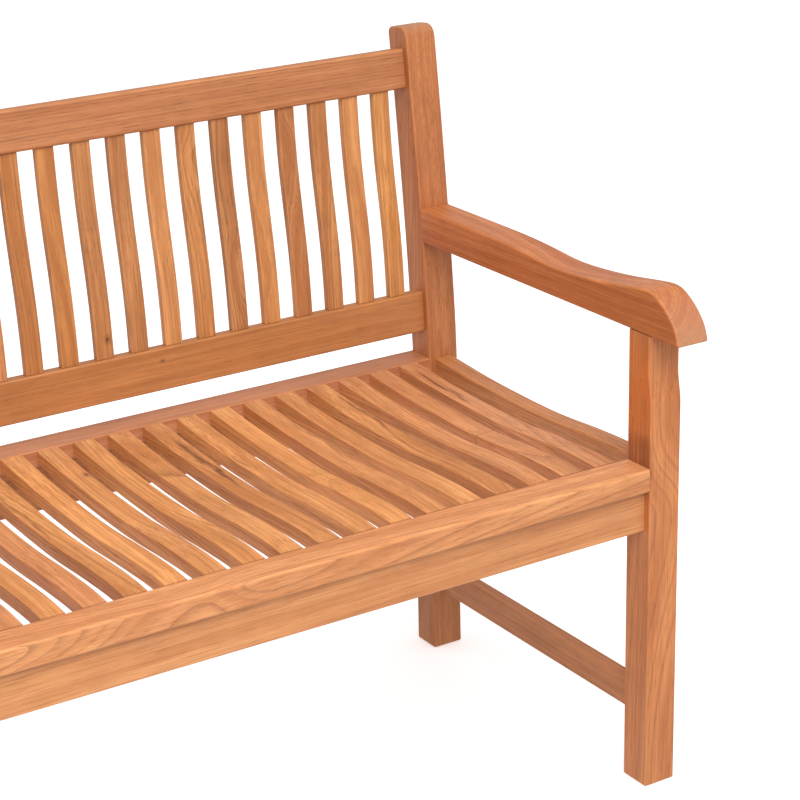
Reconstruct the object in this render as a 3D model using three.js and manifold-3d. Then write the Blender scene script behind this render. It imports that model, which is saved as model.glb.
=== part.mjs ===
// Teak garden bench with a slatted, dished seat and a slatted, leaning back.
// Millimetres, +Z up. The bench faces -Y and the origin is the centre of its footprint, on the ground.
import * as THREE from 'three';
import { mergeVertices } from 'three/addons/utils/BufferGeometryUtils.js';
import Module from 'manifold-3d';

const wasm = await Module();
wasm.setup();

// ---- Driving dimensions ----
const benchLength = 1200; // over the two ends
const seatRun = 490; // front of the front legs to the front of the back posts
const postHeight = 900; // ground to the top of the back
const legHeight = 610; // ground to the underside of the arms
const fit = 0.3; // clearance that every joint and butting face keeps

// Legs and posts
const legWidth = 46.5; // along the bench, legs, posts and arms alike
const legDepth = 46.5; // front leg, front to back
const neckSetback = 5.5; // how far the front face of a front leg curves back under the arm
const neckLength = 45; // height that this curve takes
const neckDrop = 47; // top of the curve below the arm's underside
const postDepth = 45; // back post, front to back
const leanGap = 2; // top of the rear seat rail up to where the posts begin to lean
const backLean = 45; // how far the top of a post stands behind its foot
const leanPower = 1.3; // 1 is a straight lean, more is a curved one
const postFrontRound = 17; // rounding of the post's top, front edge
const postBackRound = 9; // rounding of the post's top, back edge

// Seat
const seatHeight = 440.5; // top of the front board
const seatRise = 5.5; // how far the rear rail stands above the front board
const seatDish = 8.8; // depth of the hollow in the slats and side rails
const frontBoardThickness = 31;
const rearRailThickness = 22;
const seatSlatCount = 22;
const seatSlatWidth = 28.4;
const seatSlatThickness = 18.3; // the same all along, so that the underside is dished too
const sideRailWidth = 26;

// Aprons, under the seat
const apronDepth = 85.5; // top of the front board down to the underside of aprons and side rails
const apronThickness = 22;
const frontApronSetback = 10; // behind the front face of the legs
const rearApronSetback = 3; // before the back face of the posts

// Back
const lowerRailGap = 37; // above the rear seat rail
const lowerRailHeight = 56.5;
const lowerRailSetback = 9; // behind the front face of the posts
const topRailDrop = 27.5; // top of the rail below the top of the posts
const topRailHeight = 54;
const topRailSetback = 10.5;
const backRailThickness = 20;
const backSlatCount = 22;
const backSlatWidth = 24.3;
const backSlatThickness = 12;
const backSlatCover = 2.5; // wood left in the back rails behind the slats
const backSlatSway = 2.4; // how far the slats bow forward low down, and backward high up

// Arms and stretchers
const armThickness = 47; // underside to top where the arm meets the post
const armDip = 7.5; // how far the top of the arm dips before the front leg
const armRise = 10; // how far the grip stands above the rear of the arm
const armReach = 49; // how far the arm runs on before the leg
const stretcherBottom = 88;
const stretcherHeight = 38.5;
const stretcherWidth = 22;

// Tenons
const railTenonLength = 20; // long rails, boards and aprons, into legs and posts
const tenonWall = 4.5; // wood left between two tenons that enter one leg or post from two sides
const slatTenonLength = 12; // slats, into their rails
const tenonShoulder = 5; // step from the face of a rail to its tenon
const seatTenonWall = 3; // least wood under the slats' tenons, in the rear rail
const seatTenonStep = 1; // from a slat's underside up to its tenon, at the rear rail
const seatTenonCover = 4.5; // wood over the slats' tenons, in the front board
const legTenonSize = 22; // square tenon on top of a front leg
const legTenonLength = 26;

// ---- Values that follow from them ----
const endX = benchLength / 2;
const innerX = endX - legWidth; // inner faces of legs and posts
const midLegX = endX - legWidth / 2;
const clearSpan = 2 * innerX;
const postBack = seatRun + postDepth;
const seatRearHeight = seatHeight + seatRise; // top of the rear seat rail
const seatSlatUnderside = seatHeight - seatSlatThickness; // at the front board
const apronUnderside = seatHeight - apronDepth;
const leanStart = seatRearHeight + leanGap;
const lowerRailBottom = seatRearHeight + lowerRailGap;
const topRailBottom = postHeight - topRailDrop - topRailHeight;
const armHeight = legHeight + armThickness;
const backSlatInset = backRailThickness - backSlatThickness - backSlatCover;
const apronTenonWidth = apronThickness - 2 * tenonShoulder;
const legTopMiddle = (neckSetback + legDepth) / 2; // middle of a front leg's depth at its top

// ---- Shaping helpers: outlines are lists of [y, z] or [x, z] ----
const shapeOf = (outline) => new THREE.Shape(outline.map(([a, b]) => new THREE.Vector2(a, b)));

// A [y, z] outline run along X from one place to another.
function alongX(outline, xa, xb) {
  const depth = Math.abs(xb - xa);
  const geometry = new THREE.ExtrudeGeometry(shapeOf(outline), { depth, bevelEnabled: false });
  const yzToWorld = new THREE.Matrix4().makeBasis(
    new THREE.Vector3(0, 1, 0),
    new THREE.Vector3(0, 0, 1),
    new THREE.Vector3(1, 0, 0),
  );
  geometry.applyMatrix4(yzToWorld);
  return geometry.translate(Math.min(xa, xb), 0, 0);
}

// An [x, z] outline run along Y from one place to another.
function alongY(outline, ya, yb) {
  const depth = Math.abs(yb - ya);
  const geometry = new THREE.ExtrudeGeometry(shapeOf(outline), { depth, bevelEnabled: false });
  geometry.rotateX(Math.PI / 2);
  return geometry.translate(0, Math.max(ya, yb), 0);
}

// A rectangle by its two corners, grown all round.
const rectangle = ([a0, b0], [a1, b1], grow = 0) => [
  [a0 - grow, b0 - grow],
  [a1 + grow, b0 - grow],
  [a1 + grow, b1 + grow],
  [a0 - grow, b1 + grow],
];

// Points of an arc about a centre, between two directions in radians.
const arc = ([a, b], radius, from, to, steps = 5) =>
  Array.from({ length: steps + 1 }, (_, i) => {
    const angle = from + ((to - from) * i) / steps;
    return [a + radius * Math.cos(angle), b + radius * Math.sin(angle)];
  });

const samples = (from, to, steps) =>
  Array.from({ length: steps + 1 }, (_, i) => from + ((to - from) * i) / steps);

// ---- Booleans ----
function solidOf(geometry) {
  const bare = geometry.clone();
  bare.deleteAttribute('normal');
  bare.deleteAttribute('uv');
  const merged = mergeVertices(bare);
  const vertProperties = new Float32Array(merged.attributes.position.array);
  const triVerts = new Uint32Array(merged.index.array);
  return new wasm.Manifold(new wasm.Mesh({ numProp: 3, vertProperties, triVerts }));
}

function geometryOf(solid) {
  const mesh = solid.getMesh();
  const geometry = new THREE.BufferGeometry();
  geometry.setAttribute('position', new THREE.BufferAttribute(mesh.vertProperties, 3));
  geometry.setIndex(new THREE.BufferAttribute(mesh.triVerts, 1));
  return geometry;
}

// One body with its tenons joined on and its mortises cut out.
function joinery(body, tenons, mortises) {
  let solid = solidOf(body);
  for (const tenon of tenons) solid = solid.add(solidOf(tenon));
  for (const mortise of mortises) solid = solid.subtract(solidOf(mortise));
  return geometryOf(solid);
}

// ---- Lines that several pieces share ----
// Front face of the back posts at a height.
function postFrontAt(z) {
  const rise = Math.max(0, (z - leanStart) / (postHeight - leanStart));
  return seatRun + backLean * rise ** leanPower;
}

// Lean of the posts at a height, as an angle from the vertical.
function leanAngleAt(z) {
  const step = 1;
  return Math.atan((postFrontAt(z) - postFrontAt(z - step)) / step);
}

// The hollow of the seat from front to back, as a share of the dish.
const dishStations = [
  [0, 0],
  [0.1, 0.12],
  [0.25, -0.25],
  [0.42, -0.88],
  [0.6, -1],
  [0.8, -0.78],
  [1, -0.15],
];

// Top line of slats and side rails, from the front board to the rear rail or post.
function seatLine(yFront, yBack, steps) {
  const stations = dishStations.map(([run, dip]) => {
    const y = yFront + (yBack - yFront) * run;
    const level = seatHeight + (seatRearHeight - seatHeight) * run;
    return new THREE.Vector2(y, level + seatDish * dip);
  });
  return new THREE.SplineCurve(stations).getPoints(steps).map((point) => [point.x, point.y]);
}

// Section of a back rail: a rectangle tipped back with the posts.
function tippedSection(bottom, height, setback, inset = 0, grow = 0) {
  const low = new THREE.Vector2(postFrontAt(bottom) + setback, bottom);
  const high = new THREE.Vector2(postFrontAt(bottom + height) + setback, bottom + height);
  const up = high.sub(low).normalize();
  const backward = new THREE.Vector2(up.y, -up.x);
  const near = inset - grow;
  const corner = (across, along) =>
    low.clone().addScaledVector(backward, across).addScaledVector(up, along).toArray();
  return [
    corner(near, near),
    corner(backRailThickness - near, near),
    corner(backRailThickness - near, height - near),
    corner(near, height - near),
  ];
}

// Top of a post: cut square to its lean, with a rounded edge in front and behind.
function shapePostTop() {
  const tilt = leanAngleAt(postHeight);
  const backward = new THREE.Vector2(Math.cos(tilt), -Math.sin(tilt));
  const upward = new THREE.Vector2(Math.sin(tilt), Math.cos(tilt));
  const frontTop = postHeight - postFrontRound * (1 - Math.sin(tilt));
  const shoulder = new THREE.Vector2(postFrontAt(frontTop), frontTop);
  const front = shoulder.addScaledVector(backward, postFrontRound);
  const across = postDepth * Math.cos(tilt) - postFrontRound - postBackRound;
  const back = front
    .clone()
    .addScaledVector(backward, across)
    .addScaledVector(upward, postFrontRound - postBackRound);
  return {
    tilt,
    frontTop,
    frontCentre: front.toArray(),
    backCentre: back.toArray(),
    backTop: back.y - postBackRound * Math.sin(tilt),
    rearmost: back.x + postBackRound,
  };
}
const postTop = shapePostTop();

// Centres of evenly spaced slats that leave the same gap at both ends.
function slatCentres(count, width) {
  const gap = (clearSpan - count * width) / (count + 1);
  return Array.from({ length: count }, (_, i) => -innerX + gap + width / 2 + i * (width + gap));
}

const lowerRailTop = lowerRailBottom + lowerRailHeight;
const backSlatSpan = [lowerRailTop - slatTenonLength, topRailBottom + slatTenonLength];

// Lowest point of the top rail's tipped underside, where the slats' free length ends.
const slatEntryHeight = () => topRailSection()[1][1];

// Front face of the back slats at a height: a line from rail to rail, with the sway between them.
function backSlatFrontAt(z, sway) {
  const low = postFrontAt(lowerRailTop) + lowerRailSetback + backSlatInset;
  const high = postFrontAt(topRailBottom) + topRailSetback + backSlatInset;
  const run = (z - lowerRailTop) / (topRailBottom - lowerRailTop);
  const free = (z - lowerRailTop) / (slatEntryHeight() - lowerRailTop);
  const bow = free > 0 && free < 1 ? sway * Math.sin(2 * Math.PI * free) : 0;
  return low + (high - low) * run - bow;
}

// A back slat's [y, z] outline between heights, grown all round.
function backSlatStrip(levels, sway, grow = 0) {
  const front = levels.map((z) => [backSlatFrontAt(z, sway) - grow, z]);
  const back = levels.map((z) => [backSlatFrontAt(z, sway) + backSlatThickness + grow, z]);
  return [...front, ...back.reverse()];
}

const seatSlatCentres = slatCentres(seatSlatCount, seatSlatWidth);
const backSlatCentres = slatCentres(backSlatCount, backSlatWidth);

// ---- Joint shapes: each tenon, and the mortise that it fits with clearance ----
// Tenons at the two ends of a piece that runs from leg to leg.
const endTenons = (section) =>
  [-1, 1].map((side) =>
    alongX(section, side * (innerX - tenonShoulder), side * (innerX + railTenonLength)));

const endMortise = (grownSection, side) =>
  alongX(grownSection, side * (innerX - fit), side * (innerX + railTenonLength + fit));

// A box-shaped tenon or mortise that runs along Y, centred on a leg.
function alongLegCentre(side, width, zLow, zHigh, yFrom, yTo, grow = 0) {
  const low = [side * midLegX - width / 2, zLow];
  const high = [side * midLegX + width / 2, zHigh];
  return alongY(rectangle(low, high, grow), yFrom, yTo);
}

// Sections of the straight boards, as [y, z] corners.
const frontBoard = [[0, seatHeight - frontBoardThickness], [legDepth, seatHeight]];
const rearRail = [[seatRun, seatRearHeight - rearRailThickness], [postBack, seatRearHeight]];
const frontApron = [
  [frontApronSetback, apronUnderside],
  [frontApronSetback + apronThickness, frontBoard[0][1] - fit],
];
const rearApron = [
  [postBack - rearApronSetback - apronThickness, apronUnderside],
  [postBack - rearApronSetback, rearRail[0][1] - fit],
];

// Section of a board's tenon, and of its mortise when grown.
function boardTenon([[y0, z0], [y1, z1]], grow = 0) {
  const middle = (y0 + y1) / 2;
  const low = [middle - apronTenonWidth / 2, z0 + tenonShoulder];
  const high = [middle + apronTenonWidth / 2, z1 - tenonShoulder];
  return rectangle(low, high, grow);
}

const lowerRailSection = (inset = 0, grow = 0) =>
  tippedSection(lowerRailBottom, lowerRailHeight, lowerRailSetback, inset, grow);
const topRailSection = (inset = 0, grow = 0) =>
  tippedSection(topRailBottom, topRailHeight, topRailSetback, inset, grow);

// Lengths of the tenons that run front to back: each stops before the tenons that cross its way.
const frontApronTenonBack = frontApronSetback + (apronThickness + apronTenonWidth) / 2;
const rearApronTenonFront = rearApronSetback + (apronThickness + apronTenonWidth) / 2;
const frontSideTenon = legDepth - frontApronTenonBack - tenonWall;
const rearSideTenon = postDepth - rearApronTenonFront - tenonWall;
const armTenonLength = lowerRailSetback + tenonShoulder - tenonWall;

// Heights of the tenons that run front to back.
const sideRailTenon = [apronUnderside + 2 * tenonShoulder, seatSlatUnderside - 3 * tenonShoulder];
const stretcherTenon = [stretcherBottom + tenonShoulder, stretcherBottom + stretcherHeight - tenonShoulder];
const armTenon = [legHeight + 2 * tenonShoulder, armHeight - 2 * tenonShoulder];
const sideRailTenonWidth = sideRailWidth - 2 * tenonShoulder;
const stretcherTenonWidth = stretcherWidth - 2 * tenonShoulder;
const armTenonWidth = legWidth / 3;

// ---- Pieces ----
function frontLeg(side) {
  const neckTop = legHeight - neckDrop;
  const neckCurve = samples(0, 1, 6).map((t) => {
    const eased = t * t * (3 - 2 * t);
    return [neckSetback * eased, neckTop - neckLength * (1 - t)];
  });
  const outline = [
    [0, 0],
    ...neckCurve,
    [neckSetback, legHeight - fit],
    [legDepth, legHeight - fit],
    [legDepth, 0],
  ];
  const body = alongX(outline, side * innerX, side * endX);
  const topTenon = alongLegCentre(
    side, legTenonSize, legHeight - tenonShoulder, legHeight + legTenonLength,
    legTopMiddle - legTenonSize / 2, legTopMiddle + legTenonSize / 2,
  );
  const intoBack = legDepth - frontSideTenon - fit;
  const mortises = [
    endMortise(boardTenon(frontBoard, fit), side),
    endMortise(boardTenon(frontApron, fit), side),
    alongLegCentre(side, sideRailTenonWidth, ...sideRailTenon, intoBack, legDepth + fit, fit),
    alongLegCentre(side, stretcherTenonWidth, ...stretcherTenon, intoBack, legDepth + fit, fit),
  ];
  return joinery(body, [topTenon], mortises);
}

function backPost(side) {
  const { tilt, frontTop, frontCentre, backCentre, backTop } = postTop;
  const heights = [0, leanStart, ...samples(leanStart, frontTop, 12).slice(1, -1)];
  const front = heights.map((z) => [postFrontAt(z), z]);
  const top = [
    ...arc(frontCentre, postFrontRound, Math.PI - tilt, Math.PI / 2 - tilt),
    ...arc(backCentre, postBackRound, Math.PI / 2 - tilt, 0),
    ...arc(backCentre, postBackRound, 0, -tilt, 1).slice(1),
  ];
  const back = heights.filter((z) => z < backTop - 1).map((z) => [postFrontAt(z) + postDepth, z]);
  const body = alongX([...front, ...top, ...back.reverse()], side * innerX, side * endX);
  const intoFront = seatRun + rearSideTenon + fit;
  const intoArmZone = postFrontAt(armTenon[0]) + armTenonLength + fit;
  const mortises = [
    endMortise(boardTenon(rearRail, fit), side),
    endMortise(boardTenon(rearApron, fit), side),
    endMortise(lowerRailSection(tenonShoulder, fit), side),
    endMortise(topRailSection(tenonShoulder, fit), side),
    alongLegCentre(side, sideRailTenonWidth, ...sideRailTenon, seatRun - fit, intoFront, fit),
    alongLegCentre(side, stretcherTenonWidth, ...stretcherTenon, seatRun - fit, intoFront, fit),
    alongLegCentre(side, armTenonWidth, ...armTenon, seatRun - fit, intoArmZone, fit),
  ];
  return joinery(body, [], mortises);
}

// Arm profile: flat underside, a top that dips and rises to a grip, and a scroll that sweeps down in front.
function arm(side) {
  const under = legHeight;
  const gripTop = armHeight + armRise;
  const rearTop = postFrontAt(armHeight) - fit;
  const topLine = new THREE.SplineCurve([
    new THREE.Vector2(rearTop, armHeight),
    new THREE.Vector2(seatRun * 0.69, armHeight - 0.5),
    new THREE.Vector2(seatRun * 0.54, armHeight - armDip * 0.45),
    new THREE.Vector2(seatRun * 0.42, armHeight - armDip),
    new THREE.Vector2(seatRun * 0.31, armHeight - armDip * 0.75),
    new THREE.Vector2(seatRun * 0.19, armHeight),
    new THREE.Vector2(seatRun * 0.09, gripTop - 3),
    new THREE.Vector2(legDepth * 0.35, gripTop),
    new THREE.Vector2(0, gripTop - 2),
    new THREE.Vector2(-armReach * 0.3, gripTop - 10),
    new THREE.Vector2(-armReach * 0.58, gripTop - 21),
    new THREE.Vector2(-armReach * 0.85, gripTop - 37),
    new THREE.Vector2(-armReach, under),
  ]);
  const topPoints = topLine.getPoints(36).map((point) => [point.x, point.y]);
  const outline = [[postFrontAt(under) - fit, under], ...topPoints];
  const body = alongX(outline, side * innerX, side * endX);
  const rearTenon = alongLegCentre(
    side, armTenonWidth, ...armTenon,
    seatRun - tenonShoulder, postFrontAt(armTenon[0]) + armTenonLength,
  );
  const legSocket = alongLegCentre(
    side, legTenonSize, under - legTenonLength, under + legTenonLength,
    legTopMiddle - legTenonSize / 2 - fit, legTopMiddle + legTenonSize / 2 + fit, fit,
  );
  return joinery(body, [rearTenon], [legSocket]);
}

function sideRail(side) {
  const yFront = legDepth + fit;
  const yBack = seatRun - fit;
  const top = seatLine(yFront, yBack, 18).reverse();
  const outline = [[yFront, apronUnderside], [yBack, apronUnderside], ...top];
  const body = alongX(outline, side * (midLegX - sideRailWidth / 2), side * (midLegX + sideRailWidth / 2));
  const tenon = alongLegCentre(
    side, sideRailTenonWidth, ...sideRailTenon,
    legDepth - frontSideTenon, seatRun + rearSideTenon,
  );
  return joinery(body, [tenon], []);
}

function stretcher(side) {
  const low = [side * midLegX - stretcherWidth / 2, stretcherBottom];
  const high = [side * midLegX + stretcherWidth / 2, stretcherBottom + stretcherHeight];
  const body = alongY(rectangle(low, high), legDepth + fit, seatRun - fit);
  const tenon = alongLegCentre(
    side, stretcherTenonWidth, ...stretcherTenon,
    legDepth - frontSideTenon, seatRun + rearSideTenon,
  );
  return joinery(body, [tenon], []);
}

// Height band of the tenons of the seat slats.
const slatRearTop = seatRearHeight + seatDish * dishStations[dishStations.length - 1][1];
const seatTenonBand = [
  Math.max(seatRearHeight - rearRailThickness + seatTenonWall, slatRearTop - seatSlatThickness + seatTenonStep),
  seatHeight - seatTenonCover,
];

// Mortises for the seat slats, in a board whose slatted face is at faceY.
function seatSlatMortises(faceY, into) {
  const bottomY = faceY + into * slatTenonLength;
  const low = [Math.min(faceY, bottomY), seatTenonBand[0]];
  const high = [Math.max(faceY, bottomY), seatTenonBand[1]];
  const grown = rectangle(low, high, fit);
  const half = seatSlatWidth / 2 + fit;
  return seatSlatCentres.map((x) => alongX(grown, x - half, x + half));
}

// Mortises for the back slats, in a rail that the slats enter between two heights.
const backSlatMortises = (zLow, zHigh) =>
  backSlatCentres.map((x) => {
    const strip = backSlatStrip([zLow - fit, zHigh + fit], 0, fit);
    return alongX(strip, x - backSlatWidth / 2 - fit, x + backSlatWidth / 2 + fit);
  });

function longBoard([low, high], mortises) {
  const body = alongX(rectangle(low, high), -innerX + fit, innerX - fit);
  return joinery(body, endTenons(boardTenon([low, high])), mortises);
}

function backRail(section, mortises) {
  const body = alongX(section(), -innerX + fit, innerX - fit);
  return joinery(body, endTenons(section(tenonShoulder)), mortises);
}

// One seat slat about X = 0, with a bare-faced tenon at each end.
function seatSlat() {
  const yFront = legDepth + fit;
  const yBack = seatRun - fit;
  const [tenonLow, tenonHigh] = seatTenonBand;
  const top = seatLine(yFront, yBack, 18);
  const outline = [
    ...top.map(([y, z]) => [y, z - seatSlatThickness]),
    [yBack, tenonLow],
    [yBack + slatTenonLength, tenonLow],
    [yBack + slatTenonLength, tenonHigh],
    [yBack, tenonHigh],
    ...top.reverse(),
    [yFront, tenonHigh],
    [yFront - slatTenonLength, tenonHigh],
    [yFront - slatTenonLength, tenonLow],
    [yFront, tenonLow],
  ];
  return alongX(outline, -seatSlatWidth / 2, seatSlatWidth / 2);
}

// One back slat about X = 0: its full section enters both rails.
function backSlat() {
  const bend = samples(lowerRailTop, slatEntryHeight(), 14);
  const levels = [backSlatSpan[0], ...bend, backSlatSpan[1]];
  return alongX(backSlatStrip(levels, backSlatSway), -backSlatWidth / 2, backSlatWidth / 2);
}

// ---- Assembly ----
const teak = (colour, roughness = 0.62) =>
  new THREE.MeshStandardMaterial({ color: colour, roughness, metalness: 0 });
const teakTones = {
  frame: teak('#b9713f'),
  arm: teak('#c98552', 0.58),
  board: teak('#dc9c64'),
  rail: teak('#c5814c'),
  slats: [teak('#d3915a'), teak('#c98247'), teak('#dd9f69'), teak('#bd7641')],
};

const group = new THREE.Group();
group.name = 'garden_bench';
group.position.y = (armReach - postTop.rearmost) / 2;

function place(name, geometry, material, x = 0) {
  const mesh = new THREE.Mesh(geometry, material);
  mesh.name = name;
  mesh.position.x = x;
  group.add(mesh);
}

for (const [word, side] of [['left', -1], ['right', 1]]) {
  place(`front_leg_${word}`, frontLeg(side), teakTones.frame);
  place(`back_post_${word}`, backPost(side), teakTones.frame);
  place(`arm_${word}`, arm(side), teakTones.arm);
  place(`side_seat_rail_${word}`, sideRail(side), teakTones.rail);
  place(`side_stretcher_${word}`, stretcher(side), teakTones.rail);
}

place('front_seat_board', longBoard(frontBoard, seatSlatMortises(legDepth, -1)), teakTones.board);
place('rear_seat_rail', longBoard(rearRail, seatSlatMortises(seatRun, 1)), teakTones.rail);
place('front_apron', longBoard(frontApron, []), teakTones.board);
place('rear_apron', longBoard(rearApron, []), teakTones.rail);
place(
  'lower_back_rail',
  backRail(lowerRailSection, backSlatMortises(backSlatSpan[0], lowerRailTop + backRailThickness)),
  teakTones.rail,
);
place(
  'top_back_rail',
  backRail(topRailSection, backSlatMortises(topRailBottom - backRailThickness, backSlatSpan[1])),
  teakTones.rail,
);

const twoDigits = (number) => String(number).padStart(2, '0');
seatSlatCentres.forEach((x, i) => {
  place(`seat_slat_${twoDigits(i + 1)}`, seatSlat(), teakTones.slats[i % teakTones.slats.length], x);
});
backSlatCentres.forEach((x, i) => {
  place(`back_slat_${twoDigits(i + 1)}`, backSlat(), teakTones.slats[(i + 2) % teakTones.slats.length], x);
});

export default group;
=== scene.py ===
import math
import random

import bpy
from mathutils import Matrix, Vector


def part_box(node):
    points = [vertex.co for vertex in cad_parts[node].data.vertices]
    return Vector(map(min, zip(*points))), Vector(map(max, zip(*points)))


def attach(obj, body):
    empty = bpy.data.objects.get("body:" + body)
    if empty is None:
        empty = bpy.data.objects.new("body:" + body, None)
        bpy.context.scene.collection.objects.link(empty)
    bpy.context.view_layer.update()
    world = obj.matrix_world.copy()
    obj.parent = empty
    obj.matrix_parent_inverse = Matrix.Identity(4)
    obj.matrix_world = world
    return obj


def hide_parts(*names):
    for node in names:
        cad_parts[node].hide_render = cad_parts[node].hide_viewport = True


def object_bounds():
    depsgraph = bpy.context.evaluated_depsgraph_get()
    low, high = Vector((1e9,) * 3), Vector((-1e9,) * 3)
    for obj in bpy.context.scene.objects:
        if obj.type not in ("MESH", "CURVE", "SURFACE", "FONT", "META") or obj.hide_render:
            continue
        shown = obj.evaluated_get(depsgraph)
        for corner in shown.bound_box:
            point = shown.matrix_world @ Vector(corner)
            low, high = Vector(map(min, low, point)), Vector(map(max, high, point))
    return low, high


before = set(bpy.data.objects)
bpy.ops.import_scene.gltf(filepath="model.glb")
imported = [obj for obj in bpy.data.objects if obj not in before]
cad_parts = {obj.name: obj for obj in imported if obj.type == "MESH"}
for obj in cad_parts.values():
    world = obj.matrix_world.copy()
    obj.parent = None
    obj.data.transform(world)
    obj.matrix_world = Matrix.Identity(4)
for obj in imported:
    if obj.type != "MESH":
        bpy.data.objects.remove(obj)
cadLow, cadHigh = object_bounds()
print("frame loaded:", len(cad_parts), "pieces of wood")

fit = 0.0003  # clearance that neighbouring pieces keep
axisOf = {"X": Vector((1, 0, 0)), "Y": Vector((0, 1, 0)), "Z": Vector((0, 0, 1))}


# Node helpers

def newNode(tree, kind, **settings):
    node = tree.nodes.new(kind)
    for key, value in settings.items():
        setattr(node, key, value)
    return node


def feed(tree, socket, value):
    if isinstance(value, bpy.types.NodeSocket):
        tree.links.new(value, socket)
    elif value is not None:
        socket.default_value = value


def calc(tree, operation, *values, clamp=False):
    node = newNode(tree, "ShaderNodeMath", operation=operation, use_clamp=clamp)
    for socket, value in zip(node.inputs, values):
        feed(tree, socket, value)
    return node.outputs[0]


def squared(tree, value):
    return calc(tree, "MULTIPLY", value, value)


def vectorCalc(tree, operation, *values):
    node = newNode(tree, "ShaderNodeVectorMath", operation=operation)
    for socket, value in zip(node.inputs, values):
        feed(tree, socket, value)
    return node.outputs["Value"] if operation in ("LENGTH", "DOT_PRODUCT") else node.outputs[0]


def spread(tree, value, low, high, toLow=0.0, toHigh=1.0):
    node = newNode(tree, "ShaderNodeMapRange", interpolation_type="SMOOTHSTEP")
    for socket, number in zip(node.inputs, (value, low, high, toLow, toHigh)):
        feed(tree, socket, number)
    return node.outputs[0]


def blendColours(tree, share, first, second, blend="MIX"):
    node = newNode(tree, "ShaderNodeMix", data_type="RGBA", blend_type=blend)
    feed(tree, node.inputs[0], share)
    for socket, colour in ((node.inputs[6], first), (node.inputs[7], second)):
        feed(tree, socket, (*colour, 1) if isinstance(colour, tuple) else colour)
    return node.outputs[2]


def noiseAt(tree, place, stretch, detail=2.0, rough=0.5):
    scaled = vectorCalc(tree, "MULTIPLY", place, stretch)
    node = newNode(tree, "ShaderNodeTexNoise")
    feed(tree, node.inputs["Vector"], scaled)
    feed(tree, node.inputs["Scale"], 1.0)
    feed(tree, node.inputs["Detail"], detail)
    feed(tree, node.inputs["Roughness"], rough)
    return node.outputs["Fac"]


def noiseAlong(tree, value, detail=1.0):
    node = newNode(tree, "ShaderNodeTexNoise", noise_dimensions="1D")
    feed(tree, node.inputs["W"], value)
    feed(tree, node.inputs["Scale"], 1.0)
    feed(tree, node.inputs["Detail"], detail)
    return node.outputs["Fac"]


def readWood(tree, name):
    return newNode(tree, "ShaderNodeAttribute", attribute_name=name)


def apart(tree, vector):
    node = newNode(tree, "ShaderNodeSeparateXYZ")
    feed(tree, node.inputs[0], vector)
    return node.outputs


# Teak, as sawn from the log. Lengths in metres, colours linear.
teakGrain = {
    "fibreTone": 0.60,
    "poreTone": 0.58,
    "streakTone": 0.26,  # long soft streaks
    "streakDark": 0.6,  # of the board's dark colour
    "bandTone": 0.55,  # change of tone from one group of rings to the next
    "toneSpan": 1.1,  # how far a board's own tone can go from dark to pale
    "ringLine": 0.992,  # darkness of the line at each ring
    "heartTone": 0.86,
    "seamTone": 0.6,  # glue line of a splice
    "yellow": (1.0, 0.98, 0.80),
    "pink": (1.02, 0.96, 1.40),
    # cloudy figure and painted sheen: a soft brightness cloud over each board
    "figureAndSheen": 0.13,
    "paintedSideLight": 0.10,  # painted light: the narrow sides of slats are made paler
    "endShare": 0.45,  # end grain drinks more oil and turns greyer; on the arm it is also a painted sheen
    # eased edges made paler: wear and a painted highlight
    "edgeWearAndHighlightStrength": 0.20,
    "edgeWearAndHighlightPale": 1.22,  # of the board's pale colour
    "fibreRough": 0.10,
    "poreRough": 0.18,
    "sheen": 0.45,
    "poreDepth": 0.0004,
    "relief": 0.5,
    "poreHollow": 0.7,
    "fibreHollow": 0.25,
    "ringHollow": 0.3,
}
teakColours = {
    "frame_teak": {
        "pale": (0.64, 0.25, 0.075), "dark": (0.43, 0.135, 0.032), "line": (0.15, 0.05, 0.017),
        "end": (0.46, 0.23, 0.12), "heart": (0.20, 0.060, 0.018), "rough": 0.52,
    },
    "arm_teak": {
        "pale": (0.62, 0.225, 0.065), "dark": (0.42, 0.115, 0.026), "line": (0.16, 0.05, 0.016),
        # The arm's end colour is paler and greyer: end grain, and a painted sheen on the scroll's front.
        "end": (0.47, 0.27, 0.17), "heart": (0.20, 0.060, 0.018), "rough": 0.46,
    },
    "board_teak": {
        "pale": (0.74, 0.34, 0.13), "dark": (0.50, 0.185, 0.058), "line": (0.20, 0.078, 0.03),
        "end": (0.46, 0.23, 0.12), "heart": (0.24, 0.085, 0.030), "rough": 0.50,
    },
    "rail_teak": {
        "pale": (0.62, 0.26, 0.09), "dark": (0.43, 0.155, 0.044), "line": (0.16, 0.06, 0.02),
        "end": (0.46, 0.23, 0.12), "heart": (0.18, 0.060, 0.020), "rough": 0.52,
    },
    "slat_teak": {
        "pale": (0.78, 0.36, 0.125), "dark": (0.46, 0.165, 0.042), "line": (0.15, 0.055, 0.017),
        "end": (0.46, 0.23, 0.12), "heart": (0.17, 0.060, 0.022), "rough": 0.52,
    },
}
leastSize = 0.0001  # keeps a mark without a size from dividing by zero


# Beyond a splice the board is another length of wood.
spliceShift = {"along": 3.7, "across": 0.031}
spliceSeam = (0.0011, 0.0003)  # half the glue line, from its soft edge to its middle


def splicedPlace(tree, board):
    splice = readWood(tree, "spliceAt").outputs["Fac"]
    place = readWood(tree, "logPlace").outputs["Vector"]
    beyond = calc(tree, "GREATER_THAN", board[0], splice)
    shift = newNode(tree, "ShaderNodeCombineXYZ")
    feed(tree, shift.inputs[0], calc(tree, "MULTIPLY", beyond, spliceShift["along"]))
    feed(tree, shift.inputs[1], calc(tree, "MULTIPLY", beyond, spliceShift["across"]))
    place = vectorCalc(tree, "ADD", place, shift.outputs[0])
    fromSeam = calc(tree, "ABSOLUTE", calc(tree, "SUBTRACT", board[0], splice))
    return place, spread(tree, fromSeam, *spliceSeam)


# Swirl: the rings lift towards the face around one spot and trail off on one side of it.
swirlShape = {
    "trail": 0.36,  # the far side is longer by one over this
    "width": 0.62,  # of its length
}


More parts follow.
